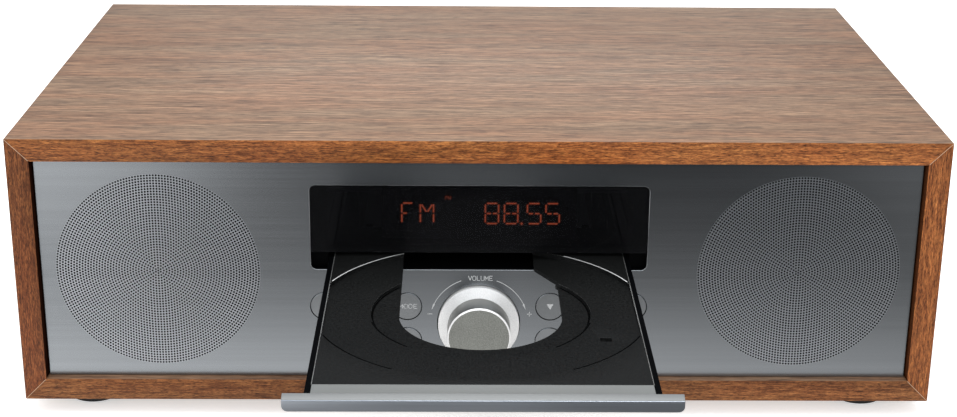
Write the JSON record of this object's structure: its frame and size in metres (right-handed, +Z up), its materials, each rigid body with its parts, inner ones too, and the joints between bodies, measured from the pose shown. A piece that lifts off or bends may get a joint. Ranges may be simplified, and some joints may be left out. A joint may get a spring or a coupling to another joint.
{
  "type": "mini hifi system",
  "caption": "Wood-cased table-top CD radio with an aluminium front, round perforated speaker grilles, a display, a volume knob, flush buttons and a sliding disc drawer.",
  "frame": {"origin": "on the surface that the feet stand on, at the centre of the whole object with its drawer open", "axes": "+X to the right seen from the front, +Y to the back, +Z up"},
  "size_m": [0.36, 0.3428, 0.1145],
  "materials": {
    "walnut": "satin walnut veneer with fine straight grain",
    "brushed_aluminium": "anodised, brushed from side to side",
    "button_aluminium": "bead-blasted, anodised",
    "knob_aluminium": "turned, satin, with a polished chamfer",
    "bar_aluminium": "fine brushed along its length",
    "smoked_acrylic": "polished, smoked black",
    "display_glass": "dark display face",
    "circuit_board": "green solder mask",
    "black_plastic": "fine moulded texture",
    "tray_plastic": "charcoal, fine moulded texture",
    "white_plastic": "natural acetal",
    "belt_rubber": "smooth",
    "foot_rubber": "matte",
    "grille_cloth": "black woven cloth",
    "speaker_paper": "pressed black paper",
    "surround_rubber": "soft, matte",
    "stamped_steel": "zinc plated",
    "ferrite": "fired, dark grey",
    "turntable_plastic": "moulded with a rubber seat",
    "heat_sink_aluminium": "extruded, plain",
    "transformer_iron": "varnished laminations",
    "rear_board": "fine moulded texture",
    "nickel_brass": "nickel plated",
    "black_screw": "black zinc"
  },
  "bodies": {
    "cabinet": {"antenna_connector": "nickel_brass", "audio_jacks": "black_plastic", "cabinet_bottom": "walnut", "cabinet_left": "walnut", "cabinet_right": "walnut", "cabinet_top": "walnut", "clamper_bridge": "stamped_steel", "display_module": "display_glass", "display_window": "smoked_acrylic", "drive_belt": "belt_rubber", "encoder_body": "stamped_steel", "faceplate": "brushed_aluminium", "feet": "foot_rubber", "front_board": "circuit_board", "front_chassis": "black_plastic", "grille_cloths": "grille_cloth", "heat_sink": "heat_sink_aluminium", "loader_frame": "black_plastic", "loading_motor": "stamped_steel", "main_board": "circuit_board", "mains_inlet": "black_plastic", "power_transformer": "transformer_iron", "rear_panel": "rear_board", "screws": "black_screw", "speaker_basket_left": "stamped_steel", "speaker_basket_right": "stamped_steel", "speaker_magnet_left": "ferrite", "speaker_magnet_right": "ferrite"},
    "tray": {"disc_tray": "tray_plastic", "tray_bar": "bar_aluminium"},
    "loading_gear": {"loading_gear": "white_plastic"},
    "pulley_gear": {"pulley_gear": "white_plastic"},
    "motor_pulley": {"motor_pulley": "white_plastic"},
    "cam_slider": {"cam_slider": "black_plastic"},
    "feed_screw": {"feed_screw": "stamped_steel"},
    "turntable": {"turntable": "turntable_plastic"},
    "clamper": {"clamper": "black_plastic"},
    "traverse": {"traverse_chassis": "stamped_steel", "guide_rods": "stamped_steel", "feed_motor": "stamped_steel", "spindle_motor": "stamped_steel"},
    "pickup": {"optical_pickup": "black_plastic"},
    "knob": {"volume_knob": "knob_aluminium", "encoder_shaft": "stamped_steel"},
    "cone_left": {"speaker_cone_left": "speaker_paper", "speaker_surround_left": "surround_rubber"},
    "cone_right": {"speaker_cone_right": "speaker_paper", "speaker_surround_right": "surround_rubber"},
    "button_power": {"button_power": "button_aluminium"},
    "button_source": {"button_source": "button_aluminium"},
    "button_mode": {"button_mode": "button_aluminium"},
    "button_down": {"button_down": "button_aluminium"},
    "button_up": {"button_up": "button_aluminium"},
    "button_play": {"button_play": "button_aluminium"},
    "button_previous": {"button_previous": "button_aluminium"},
    "button_next": {"button_next": "button_aluminium"},
    "button_stop": {"button_stop": "button_aluminium"},
    "button_eject": {"button_eject": "button_aluminium"}
  },
  "joints": [
    {"name": "tray_slide", "type": "slide", "parent": "cabinet", "child": "tray", "axis": [0, 1, 0], "range_m": [0, 0.1248]},
    {"name": "loading_gear_turn", "type": "hinge", "parent": "cabinet", "child": "loading_gear", "pos_m": [-0.0492, -0.02, 0.056], "axis": [0, 0, 1], "range_deg": [-1431, 1]},
    {"name": "pulley_gear_turn", "type": "hinge", "parent": "cabinet", "child": "pulley_gear", "pos_m": [-0.0348, -0.02, 0.051], "axis": [0, 0, 1], "range_deg": [-1, 2861]},
    {"name": "motor_pulley_turn", "type": "hinge", "parent": "cabinet", "child": "motor_pulley", "pos_m": [-0.006, -0.02, 0.05], "axis": [0, 0, 1], "range_deg": [-1, 10852]},
    {"name": "traverse_lift", "type": "slide", "parent": "cabinet", "child": "traverse", "axis": [0, 0, 1], "range_m": [0, 0.008]},
    {"name": "cam_slide", "type": "slide", "parent": "cabinet", "child": "cam_slider", "axis": [1, 0, 0], "range_m": [0, 0.016]},
    {"name": "pickup_slide", "type": "slide", "parent": "traverse", "child": "pickup", "axis": [0, 1, 0], "range_m": [0, 0.034]},
    {"name": "feed_screw_turn", "type": "hinge", "parent": "traverse", "child": "feed_screw", "pos_m": [-0.038, 0.05, 0.044], "axis": [0, 1, 0], "range_deg": [-1, 4081]},
    {"name": "turntable_spin", "type": "hinge", "parent": "traverse", "child": "turntable", "pos_m": [0, 0.0281, 0.056], "axis": [0, 0, 1], "continuous": true},
    {"name": "clamper_spin", "type": "hinge", "parent": "cabinet", "child": "clamper", "pos_m": [0, 0.0281, 0.072], "axis": [0, 0, 1], "continuous": true},
    {"name": "volume_turn", "type": "hinge", "parent": "cabinet", "child": "knob", "pos_m": [0, -0.05, 0.038], "axis": [0, 1, 0], "continuous": true},
    {"name": "button_power_press", "type": "slide", "parent": "cabinet", "child": "button_power", "axis": [0, 1, 0], "range_m": [0, 0.0005], "stiffness_N_per_m": 1500, "springref_m": -0.0002},
    {"name": "button_source_press", "type": "slide", "parent": "cabinet", "child": "button_source", "axis": [0, 1, 0], "range_m": [0, 0.0005], "stiffness_N_per_m": 1500, "springref_m": -0.0002},
    {"name": "button_mode_press", "type": "slide", "parent": "cabinet", "child": "button_mode", "axis": [0, 1, 0], "range_m": [0, 0.0005], "stiffness_N_per_m": 1500, "springref_m": -0.0002},
    {"name": "button_down_press", "type": "slide", "parent": "cabinet", "child": "button_down", "axis": [0, 1, 0], "range_m": [0, 0.0005], "stiffness_N_per_m": 1500, "springref_m": -0.0002},
    {"name": "button_up_press", "type": "slide", "parent": "cabinet", "child": "button_up", "axis": [0, 1, 0], "range_m": [0, 0.0005], "stiffness_N_per_m": 1500, "springref_m": -0.0002},
    {"name": "button_play_press", "type": "slide", "parent": "cabinet", "child": "button_play", "axis": [0, 1, 0], "range_m": [0, 0.0005], "stiffness_N_per_m": 1500, "springref_m": -0.0002},
    {"name": "button_previous_press", "type": "slide", "parent": "cabinet", "child": "button_previous", "axis": [0, 1, 0], "range_m": [0, 0.0005], "stiffness_N_per_m": 1500, "springref_m": -0.0002},
    {"name": "button_next_press", "type": "slide", "parent": "cabinet", "child": "button_next", "axis": [0, 1, 0], "range_m": [0, 0.0005], "stiffness_N_per_m": 1500, "springref_m": -0.0002},
    {"name": "button_stop_press", "type": "slide", "parent": "cabinet", "child": "button_stop", "axis": [0, 1, 0], "range_m": [0, 0.0005], "stiffness_N_per_m": 1500, "springref_m": -0.0002},
    {"name": "button_eject_press", "type": "slide", "parent": "cabinet", "child": "button_eject", "axis": [0, 1, 0], "range_m": [0, 0.0005], "stiffness_N_per_m": 1500, "springref_m": -0.0002},
    {"name": "cone_left_drive", "type": "slide", "parent": "cabinet", "child": "cone_left", "axis": [0, 1, 0], "range_m": [-0.0008, 0.0008], "stiffness_N_per_m": 1000},
    {"name": "cone_right_drive", "type": "slide", "parent": "cabinet", "child": "cone_right", "axis": [0, 1, 0], "range_m": [-0.0008, 0.0008], "stiffness_N_per_m": 1000}
  ],
  "couplings": [
    {"joint": "loading_gear_turn", "follows": "tray_slide", "rad_per_m": -200},
    {"joint": "pulley_gear_turn", "follows": "tray_slide", "rad_per_m": 400},
    {"joint": "motor_pulley_turn", "follows": "tray_slide", "rad_per_m": 1517.5},
    {"joint": "cam_slide", "follows": "traverse_lift", "ratio": 2},
    {"joint": "feed_screw_turn", "follows": "pickup_slide", "rad_per_m": 2094.4}
  ]
}
